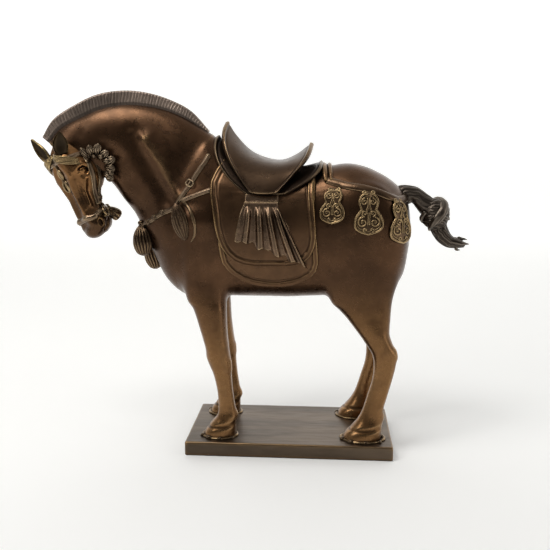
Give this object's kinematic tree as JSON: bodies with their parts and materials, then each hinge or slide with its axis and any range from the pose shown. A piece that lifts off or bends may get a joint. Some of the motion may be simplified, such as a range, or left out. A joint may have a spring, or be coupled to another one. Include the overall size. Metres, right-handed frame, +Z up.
{
  "type": "bronze horse statue",
  "caption": "Cast bronze figure of a standing saddled horse with an arched neck, turned head, hanging plaques and a swung tail, on a flat rectangular base plate.",
  "frame": {"origin": "centre of the base plate's underside", "axes": "+Z up, the horse faces -X, its near (left) side is towards -Y"},
  "size_m": [0.4167, 0.105, 0.3469],
  "materials": {
    "body_bronze": "brown patinated bronze, hand waxed, rubbed golden on high places",
    "hair_bronze": "grey-brown patina over chased hair lines",
    "saddlery_bronze": "grey-brown patina, waxed, with rubbed edges",
    "trim_bronze": "dark patina in the recesses, rubbed brassy on the raised lines",
    "base_bronze": "dull olive-brown patina with brush marks",
    "screw_steel": "zinc-plated screws"
  },
  "bodies": {
    "root": {"base_plate": "base_bronze", "hold_down_screws": "screw_steel", "torso": "body_bronze", "neck": "body_bronze", "head": "body_bronze", "near_ear": "body_bronze", "far_ear": "body_bronze", "mane": "hair_bronze", "forelock": "hair_bronze", "near_fore_leg": "body_bronze", "far_fore_leg": "body_bronze", "near_hind_leg": "body_bronze", "far_hind_leg": "body_bronze", "near_fore_braze": "base_bronze", "far_fore_braze": "base_bronze", "near_hind_braze": "base_bronze", "far_hind_braze": "base_bronze", "tail_dock": "hair_bronze", "tail_knot": "hair_bronze", "tail_switch": "hair_bronze", "saddle_seat": "saddlery_bronze", "saddle_pad": "saddlery_bronze", "cantle_roll": "saddlery_bronze", "near_blanket": "saddlery_bronze", "far_blanket": "saddlery_bronze", "near_flap": "saddlery_bronze", "far_flap": "saddlery_bronze", "near_drape": "saddlery_bronze", "far_drape": "saddlery_bronze", "near_breast_strap": "trim_bronze", "far_breast_strap": "trim_bronze", "near_buckle": "trim_bronze", "far_buckle": "trim_bronze", "near_side_tassel": "trim_bronze", "far_side_tassel": "trim_bronze", "near_chest_tassel": "trim_bronze", "far_chest_tassel": "trim_bronze", "near_crupper": "trim_bronze", "far_crupper": "trim_bronze", "near_plaque_1": "trim_bronze", "near_plaque_2": "trim_bronze", "near_plaque_3": "trim_bronze", "far_plaque_1": "trim_bronze", "far_plaque_2": "trim_bronze", "far_plaque_3": "trim_bronze", "headstall": "trim_bronze", "near_cheek_straps": "trim_bronze", "far_cheek_straps": "trim_bronze", "noseband": "trim_bronze", "near_bit_ring": "trim_bronze", "far_bit_ring": "trim_bronze", "nose_ornament": "trim_bronze", "chin_tassel": "trim_bronze", "throat_ruff": "trim_bronze"}
  },
  "joints": []
}
